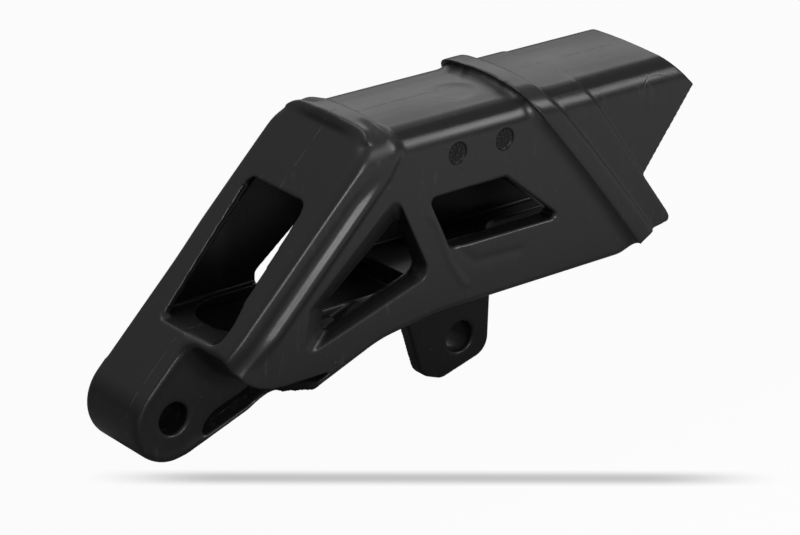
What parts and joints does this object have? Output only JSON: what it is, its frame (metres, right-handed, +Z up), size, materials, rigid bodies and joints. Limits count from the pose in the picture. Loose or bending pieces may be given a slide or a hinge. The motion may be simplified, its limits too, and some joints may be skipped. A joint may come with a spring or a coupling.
{
  "type": "motorcycle chain guide",
  "caption": "One-piece moulded chain guide with a leaning front window, open tunnel and two bolt holes for the swingarm.",
  "frame": {"origin": "on the axis of the front bolt hole, in the middle plane of the mould", "axes": "+X to the rear along the chain, +Y to the far side along the bolt holes, +Z up"},
  "size_m": [0.202, 0.0458, 0.0966],
  "materials": {
    "guide_plastic": "satin"
  },
  "bodies": {
    "root": {"guide_body": "guide_plastic"}
  },
  "joints": []
}
